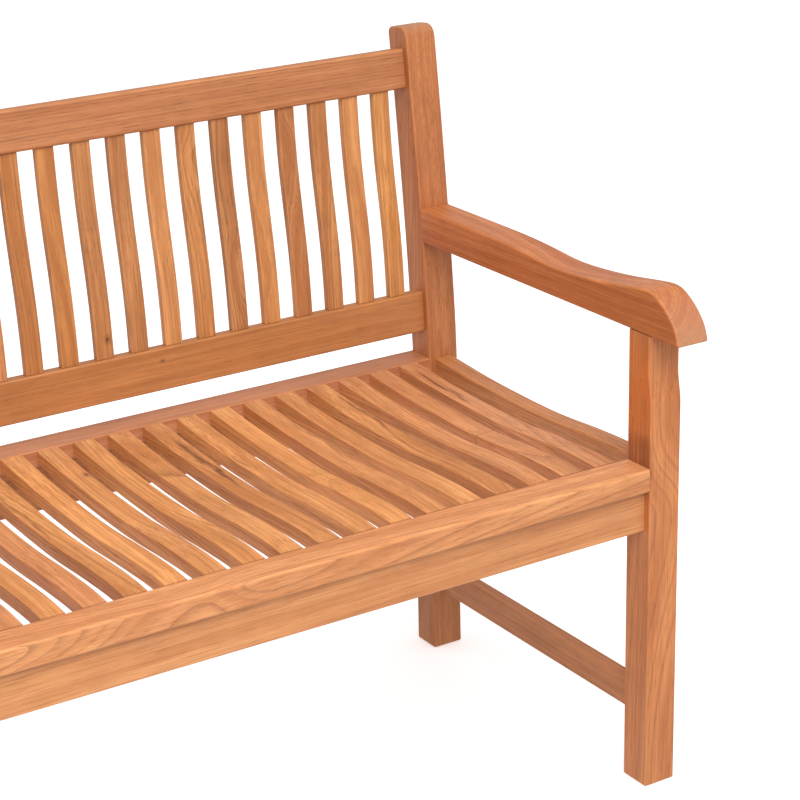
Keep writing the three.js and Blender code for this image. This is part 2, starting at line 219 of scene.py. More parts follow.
def swirlLift(tree, board):
    swirl = readWood(tree, "swirlSpot")
    spot = apart(tree, swirl.outputs["Vector"])
    over = calc(tree, "SUBTRACT", board[0], spot[0])
    ahead = calc(tree, "MAXIMUM", over, 0.0)
    behind = calc(tree, "MULTIPLY", calc(tree, "MINIMUM", over, 0.0), swirlShape["trail"])
    runAlong = calc(tree, "DIVIDE", calc(tree, "ADD", ahead, behind), spot[2])
    aside = calc(tree, "SUBTRACT", board[1], spot[1])
    runAcross = calc(tree, "DIVIDE", aside, calc(tree, "MULTIPLY", spot[2], swirlShape["width"]))
    near = calc(tree, "ADD", squared(tree, runAlong), squared(tree, runAcross))
    fade = calc(tree, "EXPONENT", calc(tree, "MULTIPLY", near, -1.0))
    return calc(tree, "MULTIPLY", swirl.outputs["Alpha"], fade)


# Knot: a dark eye that pushes the rings aside. Distances in knot radii.
knotShape = {
    "squeeze": 0.62,  # a knot is longer than wide by one over this
    "push": 1.6,
    "pushFade": -0.22,
    "eye": (1.05, 0.35),
    "eyeTone": 0.85,
    "eyeDark": 0.6,  # of the line's colour
    "halo": (3.2, 0.8),
    "haloTone": 0.45,
}


def knotMarks(tree, board):
    spot = apart(tree, readWood(tree, "knotSpot").outputs["Vector"])
    along = calc(tree, "MULTIPLY", calc(tree, "SUBTRACT", board[0], spot[0]), knotShape["squeeze"])
    across = calc(tree, "SUBTRACT", board[1], spot[1])
    reach = calc(tree, "SQRT", calc(tree, "ADD", squared(tree, along), squared(tree, across)))
    near = calc(tree, "DIVIDE", reach, calc(tree, "MAXIMUM", spot[2], leastSize))
    fade = calc(tree, "EXPONENT", calc(tree, "MULTIPLY", squared(tree, near), knotShape["pushFade"]))
    push = calc(tree, "MULTIPLY", calc(tree, "MULTIPLY", spot[2], knotShape["push"]), fade)
    eye = calc(tree, "MULTIPLY", spread(tree, near, *knotShape["eye"]), knotShape["eyeTone"])
    halo = calc(tree, "MULTIPLY", spread(tree, near, *knotShape["halo"]), knotShape["haloTone"])
    return push, eye, halo


# Growth rings round the pith.
ringShape = {
    "gap": 0.0043,  # between rings
    "slowGrain": (1.6, 9.0, 9.0),
    "slowBend": 0.016,  # how far the rings wander along a board
    "fineGrain": (7.0, 55.0, 55.0),
    "fineBend": 0.0022,
    "fade": 3.2,  # how soon the dark line fades outwards
    "start": 0.10,
    "weights": (0.15, 1.0, 0.12, 1.0),  # some rings are faint
    "groups": 0.31,
}


def growthRings(tree, place, shove):
    parts = apart(tree, place)
    slow = calc(tree, "SUBTRACT", noiseAt(tree, place, ringShape["slowGrain"], 1.5), 0.5)
    fine = calc(tree, "SUBTRACT", noiseAt(tree, place, ringShape["fineGrain"], 2.0), 0.5)
    reach = calc(tree, "SQRT", calc(tree, "ADD", squared(tree, parts[1]), squared(tree, parts[2])))
    reach = calc(tree, "MULTIPLY_ADD", slow, ringShape["slowBend"], reach)
    reach = calc(tree, "MULTIPLY_ADD", fine, ringShape["fineBend"], reach)
    ring = calc(tree, "DIVIDE", calc(tree, "ADD", reach, shove), ringShape["gap"])
    within = calc(tree, "FRACT", ring)
    early = calc(tree, "POWER", calc(tree, "SUBTRACT", 1.0, within), ringShape["fade"])
    chance = newNode(tree, "ShaderNodeTexWhiteNoise", noise_dimensions="1D")
    feed(tree, chance.inputs["W"], calc(tree, "FLOOR", ring))
    weight = spread(tree, chance.outputs["Value"], *ringShape["weights"])
    shade = calc(tree, "MULTIPLY", early, spread(tree, within, 0.0, ringShape["start"]))
    shade = calc(tree, "MULTIPLY", shade, weight)
    band = noiseAlong(tree, calc(tree, "MULTIPLY", ring, ringShape["groups"]), 2.0)
    return early, shade, band


# Fibres, pores and streaks: how fine each is along the grain and across it, and where it shows.
fibreShape = {
    "fibre": (5.0, 380.0, 380.0),
    "fibreShows": (0.42, 0.66),
    "pore": (38.0, 950.0, 950.0),
    "poreShows": (0.55, 0.70),
    "poreEarly": (0.7, 0.3),  # more pores at the start of a ring
    "poreLines": (0.9, 0.45),  # and on boards with strong lines
    "streak": (2.6, 210.0, 210.0),
    "streakShows": (0.52, 0.70),
    "bandShows": (0.32, 0.68),
    "broad": (3.0, 26.0, 26.0),
    "broadShows": (0.3, 0.7),
    "figureAndSheen": (26.0, 38.0, 38.0),
    "edgeWearAndHighlightShows": (0.3, 0.65, 0.4, 1.0),  # where the cloudiness lets the worn edges and their painted highlight show
}


def poreMarks(tree, place, early, lines):
    pores = noiseAt(tree, place, fibreShape["pore"], 1.0, 0.5)
    inRing = calc(tree, "MULTIPLY_ADD", early, *fibreShape["poreEarly"])
    mark = calc(tree, "MULTIPLY", spread(tree, pores, *fibreShape["poreShows"]), inRing)
    onBoard = calc(tree, "MULTIPLY_ADD", lines, *fibreShape["poreLines"])
    return calc(tree, "MULTIPLY", mark, onBoard, clamp=True)


# Dark heartwood along a streak that wanders across the board.
heartShape = {
    "waves": 14.0,
    "wander": 0.016,
    "edge": (0.0030, -0.0012),
    "ends": (1.0, 0.55),
    "fibres": (0.30, 0.62, 0.35, 1.0),
}


def heartStreak(tree, board, place, fibre, broadFace):
    heart = readWood(tree, "heartSpot")
    spot = apart(tree, heart.outputs["Vector"])
    wave = noiseAlong(tree, calc(tree, "MULTIPLY", apart(tree, place)[0], heartShape["waves"]))
    wander = calc(tree, "MULTIPLY", calc(tree, "SUBTRACT", wave, 0.5), heartShape["wander"])
    aside = calc(tree, "SUBTRACT", calc(tree, "SUBTRACT", board[1], spot[1]), wander)
    along = calc(tree, "ABSOLUTE", calc(tree, "SUBTRACT", board[0], spot[0]))
    along = calc(tree, "DIVIDE", along, calc(tree, "MAXIMUM", spot[2], leastSize))
    taper = calc(tree, "SUBTRACT", 1.0, squared(tree, along))
    width = calc(tree, "MULTIPLY", heart.outputs["Alpha"], taper)
    outside = calc(tree, "SUBTRACT", calc(tree, "ABSOLUTE", aside), width)
    mark = calc(tree, "MULTIPLY", spread(tree, outside, *heartShape["edge"]),
                spread(tree, along, *heartShape["ends"]))
    mark = calc(tree, "MULTIPLY", mark, spread(tree, fibre, *heartShape["fibres"]))
    mark = calc(tree, "MULTIPLY", mark, broadFace)
    return calc(tree, "MULTIPLY", mark, teakGrain["heartTone"])


# Amber: a clouded patch of deep orange.
amberShape = {
    "colour": (0.60, 0.165, 0.030),
    "edge": (1.25, 0.55),
    "cloud": (30.0, 90.0, 90.0),
    "cloudShows": (0.34, 0.60, 0.35, 1.0),
    "darkShows": (0.56, 0.70, 0.0, 0.75),
}


def amberPatch(tree, board, place):
    amber = readWood(tree, "amberSpot")
    spot = apart(tree, amber.outputs["Vector"])
    across = calc(tree, "DIVIDE", calc(tree, "SUBTRACT", board[1], spot[1]), amber.outputs["Alpha"])
    along = calc(tree, "DIVIDE", calc(tree, "SUBTRACT", board[0], spot[0]), spot[2])
    reach = calc(tree, "ADD", squared(tree, across), squared(tree, along))
    cloud = noiseAt(tree, place, amberShape["cloud"], 3.0, 0.6)
    mark = calc(tree, "MULTIPLY", spread(tree, reach, *amberShape["edge"]),
                spread(tree, cloud, *amberShape["cloudShows"]))
    dark = calc(tree, "MULTIPLY", mark, spread(tree, cloud, *amberShape["darkShows"]))
    return mark, dark


def shaded(colour, share):
    return tuple(min(1.0, c * share) for c in colour)


def teakMaterial(slotName, look):
    material = bpy.data.materials.new(slotName)
    material.use_nodes = True
    tree = material.node_tree
    tree.nodes.clear()
    grain = teakGrain

    board = apart(tree, readWood(tree, "boardPlace").outputs["Vector"])
    tone = readWood(tree, "boardTone")
    paleness, redness, lines = list(apart(tree, tone.outputs["Vector"]))[:3]
    broadFace = readWood(tree, "broadFace").outputs["Fac"]
    place, seam = splicedPlace(tree, board)
    knotPush, knotEye, knotHalo = knotMarks(tree, board)
    shove = calc(tree, "ADD", swirlLift(tree, board), knotPush)
    early, ringShade, band = growthRings(tree, place, shove)
    fibre = noiseAt(tree, place, fibreShape["fibre"], 3.0, 0.66)
    fibreMark = spread(tree, fibre, *fibreShape["fibreShows"])
    poreMark = poreMarks(tree, place, early, lines)
    streak = noiseAt(tree, place, fibreShape["streak"], 2.0, 0.6)
    broad = noiseAt(tree, place, fibreShape["broad"], 2.0)
    figureAndSheen = noiseAt(tree, place, fibreShape["figureAndSheen"], 2.0)

    # From dark to pale by groups of rings, broad zones and the board's own tone, then the lines.
    bandMark = spread(tree, band, *fibreShape["bandShows"])
    broadMark = spread(tree, broad, *fibreShape["broadShows"])
    share = calc(tree, "ADD", calc(tree, "MULTIPLY", bandMark, grain["bandTone"]),
                 calc(tree, "MULTIPLY", broadMark, 1.0 - grain["bandTone"]))
    ownTone = calc(tree, "MULTIPLY_ADD", paleness, grain["toneSpan"], -grain["toneSpan"] / 2)
    share = calc(tree, "ADD", share, ownTone, clamp=True)
    colour = blendColours(tree, share, look["dark"], look["pale"])
    lineShare = calc(tree, "MULTIPLY", ringShade, lines)
    lineShare = calc(tree, "MULTIPLY", lineShare, grain["ringLine"], clamp=True)
    colour = blendColours(tree, lineShare, colour, look["line"])
    fibreShare = calc(tree, "MULTIPLY", fibreMark, grain["fibreTone"])
    colour = blendColours(tree, fibreShare, colour, look["dark"])
    streakMark = spread(tree, streak, *fibreShape["streakShows"])
    streakShare = calc(tree, "MULTIPLY", streakMark, grain["streakTone"])
    colour = blendColours(tree, streakShare, colour, shaded(look["dark"], grain["streakDark"]))
    colour = blendColours(tree, calc(tree, "MULTIPLY", poreMark, grain["poreTone"]), colour, look["line"])

    # Marks of single boards
    heartShare = heartStreak(tree, board, place, fibre, broadFace)
    colour = blendColours(tree, heartShare, colour, look["heart"])
    amberShare, amberDark = amberPatch(tree, board, place)
    colour = blendColours(tree, amberShare, colour, amberShape["colour"])
    colour = blendColours(tree, amberDark, colour, look["heart"])
    colour = blendColours(tree, knotHalo, colour, look["line"])
    colour = blendColours(tree, knotEye, colour, shaded(look["line"], knotShape["eyeDark"]))
    colour = blendColours(tree, calc(tree, "MULTIPLY", seam, grain["seamTone"]), colour, look["line"])

    # Each board is a little redder or yellower, with a soft cloudiness of figure and painted sheen.
    hue = blendColours(tree, redness, grain["yellow"], grain["pink"])
    colour = blendColours(tree, 1.0, colour, hue, "MULTIPLY")
    cloud = calc(tree, "MULTIPLY_ADD", figureAndSheen, 2 * grain["figureAndSheen"], 1.0 - grain["figureAndSheen"])
    level = calc(tree, "MULTIPLY", cloud, tone.outputs["Alpha"])
    # Painted light: the narrow sides of slats are lightened.
    sideLightScale = calc(tree, "MULTIPLY_ADD", broadFace, -grain["paintedSideLight"], 1.0 + grain["paintedSideLight"])
    colour = vectorCalc(tree, "SCALE", colour)
    feed(tree, colour.node.inputs["Scale"], calc(tree, "MULTIPLY", level, sideLightScale))

    # Sawn ends, and eased edges made paler by wear and a painted highlight
    ends = readWood(tree, "endGrain").outputs["Fac"]
    colour = blendColours(tree, calc(tree, "MULTIPLY", ends, grain["endShare"]), colour, look["end"])
    edgeWearAndHighlight = calc(tree, "MULTIPLY", readWood(tree, "edgeWearAndHighlight").outputs["Fac"],
                spread(tree, figureAndSheen, *fibreShape["edgeWearAndHighlightShows"]))
    edgeWearAndHighlightShare = calc(tree, "MULTIPLY", edgeWearAndHighlight, grain["edgeWearAndHighlightStrength"])
    colour = blendColours(tree, edgeWearAndHighlightShare, colour, shaded(look["pale"], grain["edgeWearAndHighlightPale"]))

    shader = newNode(tree, "ShaderNodeBsdfPrincipled")
    feed(tree, shader.inputs["Base Color"], colour)
    rough = calc(tree, "MULTIPLY_ADD", fibreMark, grain["fibreRough"], look["rough"])
    rough = calc(tree, "MULTIPLY_ADD", poreMark, grain["poreRough"], rough)
    feed(tree, shader.inputs["Roughness"], rough)
    shader.inputs["Specular IOR Level"].default_value = grain["sheen"]

    hollow = calc(tree, "ADD", calc(tree, "MULTIPLY", poreMark, grain["poreHollow"]),
                  calc(tree, "MULTIPLY", fibreMark, grain["fibreHollow"]))
    hollow = calc(tree, "MULTIPLY_ADD", ringShade, grain["ringHollow"], hollow)
    height = calc(tree, "SUBTRACT", 1.0, hollow)
    bump = newNode(tree, "ShaderNodeBump")
    feed(tree, bump.inputs["Strength"], grain["relief"])
    feed(tree, bump.inputs["Distance"], grain["poreDepth"])
    feed(tree, bump.inputs["Height"], height)
    feed(tree, shader.inputs["Normal"], bump.outputs[0])
    output = newNode(tree, "ShaderNodeOutputMaterial")
    tree.links.new(shader.outputs[0], output.inputs[0])
    return material


teak = {slotName: teakMaterial(slotName, look) for slotName, look in teakColours.items()}
print("teak ready:", ", ".join(teak))


# Outlines: closed rings of (y, z) points, counterclockwise as seen from +X.
outlineLimits = {
    "inSide": 0.00002,  # a point this near counts as on the side face
    "straight": 0.003,  # turns below this are dropped, in radians
    "sharp": 0.5,  # turns above this are corners
    "longest": 0.045,  # step of a curve
    "uneven": 2.6,  # a longer neighbour than this many steps ends the curve
}
curveWeights = (0.5625, 0.0625)  # of the two near and the two far points

def area(outline):
    turned = outline[1:] + outline[:1]
    return sum(a[0] * b[1] - b[0] * a[1] for a, b in zip(outline, turned)) / 2


def sideOutline(node, x):
    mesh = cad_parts[node].data
    nextPoint = {}
    for face in mesh.polygons:
        corners = [mesh.vertices[i].co for i in face.vertices]
        if any(abs(corner.x - x) > outlineLimits["inSide"] for corner in corners):
            continue
        keys = [(round(corner.y, 5), round(corner.z, 5)) for corner in corners]
        for pair in zip(keys, keys[1:] + keys[:1]):
            if pair[0] == pair[1]:
                continue
            if (pair[1], pair[0]) in nextPoint:
                del nextPoint[(pair[1], pair[0])]
            else:
                nextPoint[pair] = True
    follow = {a: b for a, b in nextPoint}
    rings = []
    while follow:
        start, point = follow.popitem()
        ring = [start]
        while point != start and point in follow:
            ring.append(point)
            point = follow.pop(point)
        rings.append(ring)
    ring = max(rings, key=lambda r: abs(area(r)))
    return ring if area(ring) > 0 else ring[::-1]


def turnAt(outline, i):
    before = Vector(outline[i]) - Vector(outline[i - 1])
    after = Vector(outline[(i + 1) % len(outline)]) - Vector(outline[i])
    return before.angle_signed(after, 0.0) if before.length and after.length else 0.0


def withoutStraightPoints(outline):
    return [p for i, p in enumerate(outline) if abs(turnAt(outline, i)) > outlineLimits["straight"]]


def clipped(outline, point, normal):
    kept = []
    depths = [(Vector(p) - point).dot(normal) for p in outline]
    for i, (a, depth) in enumerate(zip(outline, depths)):
        b, nextDepth = outline[(i + 1) % len(outline)], depths[(i + 1) % len(outline)]
        if depth >= 0:
            kept.append(a)
        if depth * nextDepth < 0:
            share = depth / (depth - nextDepth)
            kept.append(tuple(Vector(a).lerp(Vector(b), share)))
    return kept


# Adds a point in the middle of each step of a curved stretch, on the curve through its neighbours.
def finerCurve(outline):
    nearWeight, farWeight = curveWeights
    count = len(outline)
    points = [Vector(p) for p in outline]
    corner = [abs(turnAt(outline, i)) > outlineLimits["sharp"] for i in range(count)]
    finer = []
    for i in range(count):
        a, b, c, d = points[i - 1], points[i], points[(i + 1) % count], points[(i + 2) % count]
        finer.append(tuple(b))
        step = (c - b).length
        farthest = outlineLimits["uneven"] * step
        even = max((b - a).length, (d - c).length) < farthest and step < outlineLimits["longest"]
        if even and not corner[i] and not corner[(i + 1) % count]:
            finer.append(tuple((b + c) * nearWeight - (a + d) * farWeight))
    return finer


# How each kind of piece is cut. edge is the radius of its arrises, under the share of it below;
# butt lists the faces that meet another piece; grain is its long way, face the side that is looked
# at; sawn is the angle between that face and the growth rings, in degrees from flat-sawn (0) to
# quarter-sawn (90); pith is how far the middle of the log is, lean how many degrees the board leans
# from it; shade is painted light and shade, making the whole kind lighter or darker for how the
# lamps fall on it.
pieceCuts = {
    "front_leg": {
        "slot": "frame_teak", "edge": 0.0026, "steps": 3, "butt": ("+Z",), "grain": "Z",
        "face": "Y", "sawn": (5, 20), "pith": (0.07, 0.11), "lean": 0.6, "tone": (0.30, 0.50),
        "red": (0.45, 0.8), "lines": (0.5, 0.8),
    },
    "back_post": {
        "slot": "frame_teak", "shade": 0.93, "edge": 0.0026, "steps": 3, "butt": (), "grain": "Z",
        "face": "Y", "sawn": (50, 80), "pith": (0.09, 0.14), "lean": 1.0, "tone": (0.40, 0.60),
        "red": (0.3, 0.6), "lines": (0.5, 0.8),
    },
    "arm": {
        "slot": "arm_teak", "shade": 0.95, "edge": 0.0034, "steps": 4, "butt": ("+Y",),
        "grain": "Y", "face": "X", "sawn": (55, 75), "pith": (0.08, 0.12), "lean": 1.5,
        "tone": (0.35, 0.55), "red": (0.5, 0.8), "lines": (0.5, 0.7),
    },
    "side_seat_rail": {
        "slot": "rail_teak", "edge": 0.0022, "steps": 3, "butt": ("+Y", "-Y"), "grain": "Y",
        "face": "X", "sawn": (30, 80), "pith": (0.08, 0.14), "lean": 1.5, "tone": (0.35, 0.6),
        "red": (0.2, 0.6), "lines": (0.4, 0.7),
    },
    "side_stretcher": {
        "slot": "rail_teak", "edge": 0.0022, "steps": 3, "butt": ("+Y", "-Y"), "grain": "Y",
        "face": "X", "sawn": (40, 80), "pith": (0.08, 0.14), "lean": 1.0, "tone": (0.35, 0.55),
        "red": (0.4, 0.7), "lines": (0.4, 0.6),
    },
    "front_seat_board": {
        "slot": "board_teak", "shade": 1.03, "edge": 0.0040, "steps": 4, "butt": ("X",),
        "grain": "X", "face": "Y", "sawn": (12, 18), "pith": (0.055, 0.065), "lean": 4.5,
        "tone": (0.5, 0.6), "red": (0.4, 0.5), "lines": (0.85, 0.95),
    },
    "front_apron": {
        "slot": "board_teak", "shade": 1.00, "edge": 0.0018, "steps": 3, "butt": ("X",),
        "grain": "X", "face": "Y", "sawn": (20, 40), "pith": (0.10, 0.14), "lean": 1.2,
        "tone": (0.45, 0.6), "red": (0.35, 0.5), "lines": (0.30, 0.40),
    },
    "rear_seat_rail": {
        "slot": "rail_teak", "shade": 0.97, "edge": 0.0022, "steps": 3, "butt": ("X",),
        "grain": "X", "face": "Y", "sawn": (50, 80), "pith": (0.10, 0.14), "lean": 1.0,
        "tone": (0.45, 0.6), "red": (0.7, 0.9), "lines": (0.3, 0.5),
    },
    "rear_apron": {
        "slot": "rail_teak", "edge": 0.0018, "steps": 3, "butt": ("X",), "grain": "X", "face": "Y",
        "sawn": (30, 60), "pith": (0.10, 0.14), "lean": 1.0, "tone": (0.35, 0.6), "red": (0.3, 0.6),
        "lines": (0.4, 0.6),
    },
    "lower_back_rail": {
        "slot": "rail_teak", "shade": 0.92, "edge": 0.0030, "steps": 4, "butt": ("X",),
        "grain": "X", "face": "Y", "sawn": (35, 45), "pith": (0.12, 0.16), "lean": 0.8,
        "tone": (0.45, 0.6), "red": (0.3, 0.4), "lines": (0.30, 0.45),
    },
    "top_back_rail": {
        "slot": "rail_teak", "shade": 0.94, "edge": 0.0042, "steps": 4, "butt": ("X",),
        "grain": "X", "face": "Y", "sawn": (70, 85), "pith": (0.12, 0.16), "lean": 0.4,
        "tone": (0.40, 0.5), "red": (0.4, 0.5), "lines": (0.55, 0.65),
    },
    "seat_slat": {
        "slot": "slat_teak", "edge": 0.0011, "under": 0.3, "steps": 3, "butt": ("+Y", "-Y"),
        "grain": "Y", "face": "Z", "sawn": (0, 90), "pith": (0.05, 0.13), "lean": 2.6,
        "tone": (0.30, 0.75), "red": (0.1, 0.8), "lines": (0.35, 0.8),
    },
    "back_slat": {
        "slot": "slat_teak", "shade": 0.90, "edge": 0.0018, "steps": 3, "butt": ("+Z", "-Z"),
        "grain": "Z", "face": "Y", "sawn": (0, 90), "pith": (0.05, 0.13), "lean": 1.6,
        "tone": (0.15, 0.6), "red": (0.1, 0.6), "lines": (0.35, 0.8),
    },
}
buttShare = 0.08  # edges at a joint keep this share of the radius
footShare = 0.7  # and edges under a foot this
facing = {"joint": 0.8, "foot": 0.99, "under": 0.5}  # how squarely a face has to look that way

# Marks on single boards, measured from the middle of the board: along it, then across it. A swirl
# has its length and lift after that, a knot its size, heart and amber half their length and width.
# tone is how pale, how red, how strong in line and how light the board is.
boardMarks = {
    "front_leg_right": {"swirl": (0.070, 0.004, 0.070, 0.030), "tone": (0.60, 0.45, 0.55, 1.06),
                        "heart": (0.150, -0.0250, 0.035, 0.0022), "amber": (0.225, -0.034, 0.115, 0.0125)},
    "front_leg_left": {"swirl": (-0.060, -0.006, 0.070, 0.020)},
    "arm_right": {"tone": (0.50, 0.35, 0.60, 1.02)},
    "side_seat_rail_right": {"tone": (0.65, 0.35, 0.70, 1.04)},
    "front_seat_board": {"swirl": (-0.070, 0.002, 0.055, 0.022), "tone": (0.55, 0.35, 0.85, 1.02)},
    "front_apron": {"tone": (0.60, 0.30, 0.25, 0.97)},
    "lower_back_rail": {"tone": (0.45, 0.15, 0.40, 0.98), "knot": (0.150, 0.012, 0.0014)},
    "top_back_rail": {"tone": (0.42, 0.50, 1.00, 0.96)},
    "rear_seat_rail": {"tone": (0.50, 0.75, 0.40, 0.97)},
    "seat_slat_07": {"tone": (0.60, 0.30, 0.60, 1.02)},
    "seat_slat_09": {"tone": (0.60, 0.25, 0.80, 1.00), "heart": (0.060, -0.008, 0.090, 0.0004)},
    "seat_slat_10": {"tone": (0.75, 0.25, 0.40, 1.05)},
    "seat_slat_11": {"tone": (0.55, 0.30, 0.70, 1.00), "knot": (0.130, 0.009, 0.0024)},
    "seat_slat_12": {"tone": (0.70, 0.25, 0.55, 1.02)},
    "seat_slat_13": {"tone": (0.60, 0.30, 0.80, 1.00)},
    "seat_slat_14": {"tone": (0.45, 0.30, 0.80, 1.00), "heart": (0.085, 0.003, 0.110, 0.0036),
                     "knot": (0.052, 0.005, 0.0020)},
    "seat_slat_15": {"tone": (0.65, 0.30, 0.60, 1.02), "heart": (0.062, -0.009, 0.028, 0.0006),
                     "swirl": (0.060, -0.004, 0.030, 0.010)},
    "seat_slat_16": {"tone": (0.80, 0.25, 0.40, 1.05), "swirl": (-0.060, 0.008, 0.030, 0.010)},
    "seat_slat_17": {"tone": (0.65, 0.40, 0.55, 1.02), "heart": (0.070, 0.010, 0.100, 0.0002)},
    "seat_slat_18": {"tone": (0.70, 0.35, 0.50, 1.00)},
    "seat_slat_19": {"tone": (0.55, 0.30, 0.75, 0.98), "heart": (0.120, 0.009, 0.080, 0.0014)},
    "seat_slat_20": {"tone": (0.65, 0.50, 0.70, 1.00)},
    "seat_slat_21": {"tone": (0.55, 0.55, 0.75, 0.98), "splice": -0.0355},
    "seat_slat_22": {"tone": (0.55, 0.65, 0.85, 0.97), "heart": (0.130, -0.004, 0.080, 0.0024)},
    "back_slat_13": {"tone": (0.45, 0.30, 0.80, 0.86), "knot": (-0.115, 0.004, 0.0022)},
    "back_slat_14": {"tone": (0.45, 0.35, 0.70, 0.85)},
    "back_slat_15": {"tone": (0.75, 0.30, 0.30, 0.96)},
    "back_slat_16": {"tone": (0.45, 0.22, 0.80, 0.98), "swirl": (0.100, -0.004, 0.022, 0.012),
                     "heart": (0.010, 0.0115, 0.110, 0.0003)},
    "back_slat_17": {"tone": (0.35, 0.35, 0.90, 0.87), "swirl": (-0.050, 0.006, 0.024, 0.022)},
    "back_slat_18": {"tone": (0.65, 0.25, 0.35, 1.00), "swirl": (-0.115, 0.000, 0.020, 0.010)},
    "back_slat_19": {"tone": (0.25, 0.40, 0.80, 0.92), "swirl": (0.090, 0.004, 0.040, 0.014)},
    "back_slat_20": {"tone": (0.32, 0.28, 0.85, 0.94)},
    "back_slat_21": {"tone": (0.60, 0.25, 0.45, 1.00)},
    "back_slat_22": {"tone": (0.70, 0.10, 0.50, 0.98)},
}
noMark = {  # far off the board
    "swirl": (9.0, 9.0, 0.05, 0.0),
    "knot": (9.0, 9.0, 0.001),
    "heart": (9.0, 9.0, 0.01, 0.0),
    "amber": (9.0, 9.0, 0.01, 0.01),
    "splice": 9.0,
}


def kindOf(node):
    return max((kind for kind in pieceCuts if node.startswith(kind)), key=len)


def roundedBoard(name, outline, xLow, xHigh, cut):
    count = len(outline)
    points = [(xLow, y, z) for y, z in outline] + [(xHigh, y, z) for y, z in outline]
    faces = [tuple(range(count - 1, -1, -1)), tuple(range(count, 2 * count))]
    for i in range(count):
        j = (i + 1) % count
        faces.append((i, j, count + j, count + i))
    mesh = bpy.data.meshes.new(name)
    mesh.from_pydata(points, [], faces)
    mesh.materials.append(None)
    mesh.materials.append(None)

    # Share of the radius for each step of the outline, and for the edge that starts at each corner.
    stepShare = []
    for i in range(count):
        step = (Vector(outline[(i + 1) % count]) - Vector(outline[i])).normalized()
        outward = {"+Y": step.y, "-Y": -step.y, "+Z": -step.x, "-Z": step.x}
        share = 1.0
        if any(side != "X" and outward[side] > facing["joint"] for side in cut["butt"]):
            share = buttShare
        elif cut["grain"] == "Z" and outward["-Z"] > facing["foot"]:
            share = footShare
        elif outward["-Z"] > facing["under"]:
            share = cut.get("under", 1.0)
        stepShare.append(share)
    weights = mesh.attributes.new("bevel_weight_edge", "FLOAT", "EDGE")
    for edge in mesh.edges:
        a, b = sorted(edge.vertices)
        if a < count <= b:
            sharp = abs(turnAt(outline, a)) > outlineLimits["sharp"]
            share = min(stepShare[a], stepShare[a - 1]) if sharp else 0.0
        else:
            i = a % count
            j = b % count
            share = stepShare[i] if (i + 1) % count == j else stepShare[j]
            if "X" in cut["butt"]:
                share = buttShare
        weights.data[edge.index].value = share

    piece = bpy.data.objects.new(name, mesh)
    bpy.context.scene.collection.objects.link(piece)
    bevel = piece.modifiers.new("easedEdges", "BEVEL")
    bevel.width = cut["edge"]
    bevel.segments = cut["steps"]
    bevel.limit_method = "WEIGHT"
    bevel.use_clamp_overlap = False
    bevel.material = 1
    graph = bpy.context.evaluated_depsgraph_get()
    rounded = bpy.data.meshes.new_from_object(piece.evaluated_get(graph))
    piece.modifiers.clear()
    piece.data = rounded
    rounded.name = name
    bpy.data.meshes.remove(mesh)
    return piece


# The board's own axes: along the grain, across the face that is looked at, and out of it.
def boardAxes(cut, longWay):
    along = longWay.normalized()
    into = axisOf[cut["face"]]
    into = (into - along * into.dot(along)).normalized()
    across = into.cross(along)
    return along, across, into


# How boards differ from each other by chance, and how their faces are told apart.
boardChance = {
    "lean": (0.5, 1.0),  # share of the kind's lean
    "roll": (-0.6, 0.6),
    "start": (0.0, 40.0),  # where along the log, in metres
    "level": (0.93, 1.05),
    "endFrom": 0.35,  # a face turned this far towards the grain begins to show end grain
    "narrowSide": 0.2,  # how much of a mark on a slat's face shows on its narrow sides; it also sets how much painted light they get
    "faceWeight": 80,  # keeps large faces flat beside eased edges
}


